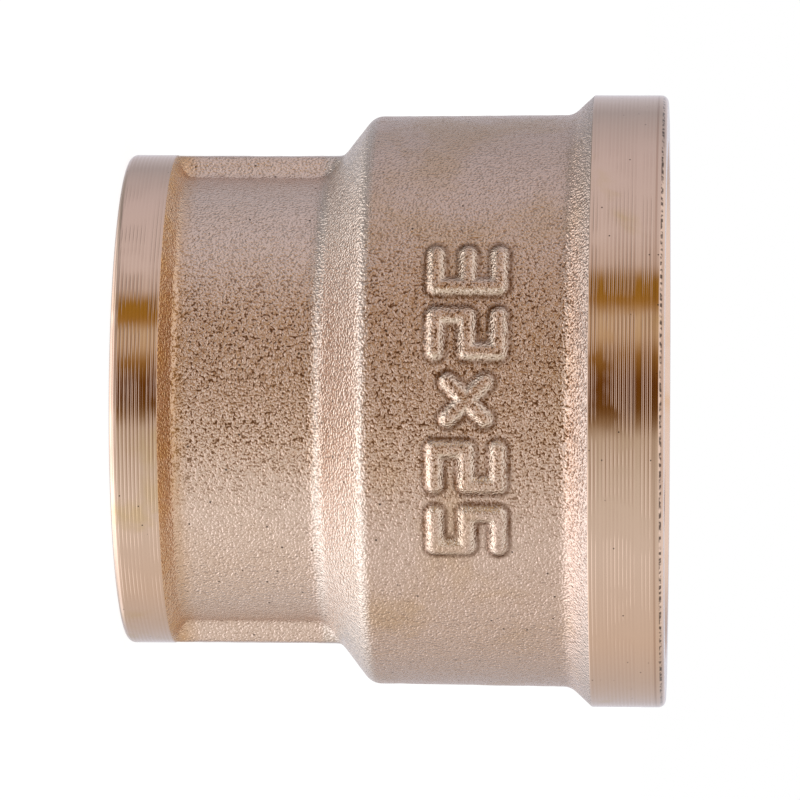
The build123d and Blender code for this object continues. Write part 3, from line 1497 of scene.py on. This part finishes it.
# --------------------------------------------------------------------------------------------------------
# Studio
# --------------------------------------------------------------------------------------------------------

Stops = list[tuple[float, Colour]]

COOL_BACK = (0.80, 0.80, 0.88)
GREY_LEFT = (0.62, 0.62, 0.68)
DIM_LEFT = (0.46, 0.47, 0.51)
SOFT_LEFT = (0.66, 0.64, 0.68)
SOFT_RIGHT = (0.78, 0.76, 0.71)
WARM_RIGHT = (0.74, 0.68, 0.60)
DIM_RIGHT = (0.64, 0.61, 0.58)
GREY_RIGHT = (0.62, 0.62, 0.66)
PALE_LEFT = (0.84, 0.80, 0.80)
WHITE_FRONT = (1.05, 1.0, 0.95)
DARK_GOLD = (0.36, 0.20, 0.02)
DEEP_GOLD = (0.37, 0.20, 0.03)
LIGHT_GOLD = (0.66, 0.55, 0.38)
SANDY_GOLD = (0.64, 0.51, 0.33)
BROWN_CARD = (0.33, 0.18, 0.04)
DARK_CARD = (0.16, 0.06, 0.005)
DARK_CARD_EDGE = (0.17, 0.075, 0.01)
FADED_CARD = (0.30, 0.20, 0.10)


@dataclass(frozen=True)
class Studio:
    """A light tent: bright from below, soft all round, with the camera's dark warm opening in front.

    Attributes:
        camera_distance: From the lens to the coupling's axis.
        camera_rise: How far the lens is above the large end.
        aim_drop: How far the view's middle is below the large end, on the axis.
        view_width: The width of what the camera sees at the axis.
        roll: The camera's turn about its line of sight, in degrees.
        ceiling: The brightness straight above.
        floor: The brightness of the tent's floor round the coupling's foot.
        floor_heart: How much brighter it is straight below.
        floor_tilt: How much brighter it is towards +X than at the middle.
        sheet_width: The width of the plain floor that the coupling stands on.
        sheet_drop: How far that floor is below the small end.
        sheet_paint: How much of the tent's light it gives back.
        sheet_glow: The light of its own that keeps it white.
    """

    camera_distance: float = 538.0
    camera_rise: float = 5.5
    aim_drop: float = 21.9
    view_width: float = 65.574
    roll: float = 90.3
    ceiling: float = 1.0
    floor: float = 0.86
    floor_heart: float = 1.15
    floor_tilt: float = 0.55
    sheet_width: float = 6000.0
    sheet_drop: float = 0.05
    sheet_paint: float = 0.2
    sheet_glow: float = 0.88

    def walls(self) -> tuple[Stops, Stops]:
        """Say what the tent's walls and the opening look like, by azimuth.

        Returns:
            For each, azimuths in degrees from the camera towards +X, with their colours.
        """
        left = [(-180.0, COOL_BACK), (-160.0, GREY_LEFT), (-139.0, DIM_LEFT), (-104.0, SOFT_LEFT)]
        right = [(60.0, SOFT_RIGHT), (103.0, WARM_RIGHT), (132.0, DIM_RIGHT), (158.0, GREY_RIGHT),
                 (180.0, COOL_BACK)]
        wall = [(-64.0, PALE_LEFT), (0.0, WHITE_FRONT)]
        opening = [
            (-64.0, (0.73, 0.70, 0.71)), (-52.0, (0.68, 0.62, 0.58)), (-46.0, DARK_GOLD), (-37.0, DEEP_GOLD),
            (-31.0, LIGHT_GOLD), (-24.0, SANDY_GOLD), (-17.0, BROWN_CARD), (-7.0, DARK_CARD),
            (3.0, DARK_CARD_EDGE), (8.0, FADED_CARD), (14.0, (0.62, 0.57, 0.47)), (31.0, (0.72, 0.70, 0.63)),
        ]
        return left + wall + right, left + opening + right

    def ring(self, sheet: Sheet, share: Socket, stops: Stops) -> Socket:
        """Place a colour ramp round the horizon.

        Args:
            sheet: The world's sheet.
            share: Where a direction lies round the horizon, from 0 to 1.
            stops: The azimuths and their colours.

        Returns:
            The ramp's colour.
        """
        node = sheet.add("ValToRGB", {0: share})
        ramp = node.color_ramp
        while len(ramp.elements) < len(stops):
            ramp.elements.new(0.5)
        for element, (degrees, colour) in zip(ramp.elements, stops):
            element.position = 0.5 + degrees / 360.0
            element.color = rgba(colour)
        return node.outputs[0]

    def floor_light(self, sheet: Sheet, x: Socket, y: Socket, z: Socket) -> Socket:
        """Work out the light of the tent's floor in a direction.

        Args:
            sheet: The world's sheet.
            x: The direction's X.
            y: The direction's Y.
            z: The direction's Z.

        Returns:
            The light, as a grey colour.
        """
        glow = sheet.line(x, self.floor_tilt, self.floor)
        heart = sheet.times(sheet.spread(z, -0.55, -0.95), sheet.spread(y, -0.52, -0.32))
        glow = sheet.math("MULTIPLY_ADD", heart, self.floor_heart, glow)
        glow = sheet.times(glow, sheet.line(sheet.spread(y, 0.62, 0.95), -0.4, 1.0))
        glow = sheet.times(glow, sheet.line(sheet.spread(x, -0.75, -0.2), 0.32, 0.7))
        return sheet.add("CombineColor", {0: glow, 1: glow, 2: glow}).outputs[0]

    def surround(self) -> None:
        """Make the world: the tent's walls, the opening in front, the ceiling and the bright floor."""
        world = bpy.data.worlds.new("studio")
        bpy.context.scene.world = world
        world.use_nodes = True
        world.node_tree.nodes.clear()
        sheet = Sheet(world.node_tree)
        x, y, z = sheet.axes(sheet.add("TexCoord").outputs["Generated"])
        azimuth = sheet.math("ARCTAN2", x, sheet.times(y, -1.0))
        share = sheet.line(azimuth, 1.0 / (2.0 * math.pi), 0.5)
        wall, opening = (self.ring(sheet, share, stops) for stops in self.walls())
        sides = sheet.blend(sheet.spread(sheet.math("ABSOLUTE", z), 0.2, 0.46), opening, wall)
        above = sheet.blend(sheet.spread(z, 0.45, 0.8), sides, (self.ceiling,) * 3)
        lit = sheet.blend(sheet.spread(z, -0.22, -0.5), above, self.floor_light(sheet, x, y, z))
        seen = sheet.blend(sheet.add("LightPath").outputs["Is Camera Ray"], lit, (1.0,) * 3)
        background = sheet.add("Background", {0: seen, 1: 1.0})
        sheet.add("OutputWorld", {0: background.outputs[0]})

    def floor_paint(self) -> bpy.types.Material:
        """Make the plain floor's material: white from above, clear from underneath.

        Returns:
            The material.
        """
        material = bpy.data.materials.new("white_floor")
        material.use_nodes = True
        material.node_tree.nodes.clear()
        sheet = Sheet(material.node_tree)
        white = sheet.add("BsdfPrincipled", {
            "Base Color": rgba((self.sheet_paint,) * 3), "Roughness": 1.0, "Specular IOR Level": 0.0,
            "Emission Color": rgba((1.0,) * 3), "Emission Strength": self.sheet_glow,
        })
        underneath = sheet.add("NewGeometry").outputs["Backfacing"]
        clear = sheet.add("BsdfTransparent")
        mixed = sheet.add("MixShader", {0: underneath, 1: white.outputs[0], 2: clear.outputs[0]})
        sheet.add("OutputMaterial", {"Surface": mixed.outputs[0]})
        return material

    def lay_floor(self) -> None:
        """Lay the plain floor. Only the camera sees it, because the tent already lights from below."""
        deselect_all()
        spot = metres((0.0, 0.0, -self.sheet_drop))
        bpy.ops.mesh.primitive_plane_add(size=self.sheet_width * MM, location=spot)
        floor = bpy.context.object
        floor.name = "floor"
        floor.data.materials.append(self.floor_paint())
        floor.visible_glossy = False
        floor.visible_diffuse = False
        floor.visible_transmission = False
        floor.visible_shadow = False

    def camera(self, sizes: CouplingSizes) -> None:
        """Place the camera level with the large end, looking slightly down, turned on its side.

        Args:
            sizes: The coupling's sizes.
        """
        lens = metres((0.0, -self.camera_distance, sizes.length + self.camera_rise))
        aim = metres((0.0, 0.0, sizes.length - self.aim_drop))
        data = bpy.data.cameras.new("camera")
        camera = bpy.data.objects.new("camera", data)
        bpy.context.scene.collection.objects.link(camera)
        data.sensor_width = 36.0
        data.lens = data.sensor_width * (aim - lens).length / (self.view_width * MM)
        data.clip_start, data.clip_end = 0.01, 20.0
        camera.location = lens
        camera.rotation_mode = "QUATERNION"
        turn = Quaternion((0.0, 0.0, 1.0), math.radians(self.roll))
        camera.rotation_quaternion = (aim - lens).to_track_quat("-Z", "Y") @ turn
        bpy.context.scene.camera = camera

    def build(self, sizes: CouplingSizes) -> None:
        """Make the surround, the floor and the camera.

        Args:
            sizes: The coupling's sizes.
        """
        self.surround()
        self.lay_floor()
        self.camera(sizes)
        bpy.context.scene.view_settings.view_transform = "Standard"


def main() -> None:
    """Build the coupling and its studio, and log the coupling's numbers of vertices and faces."""
    logging.basicConfig(level=logging.INFO, format="%(name)s: %(message)s")
    sizes = CouplingSizes()
    coupling = Casting(sizes, MouldingRibs(sizes), SizeMark(sizes)).build(make_finishes(sizes))
    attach(coupling, "root")
    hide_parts("coupling_body")
    mesh = coupling.data
    LOG.info("%s: %d vertices, %d faces", coupling.name, len(mesh.vertices), len(mesh.polygons))
    Studio().build(sizes)
    LOG.info("studio ready")


if __name__ == "__main__":
    main()
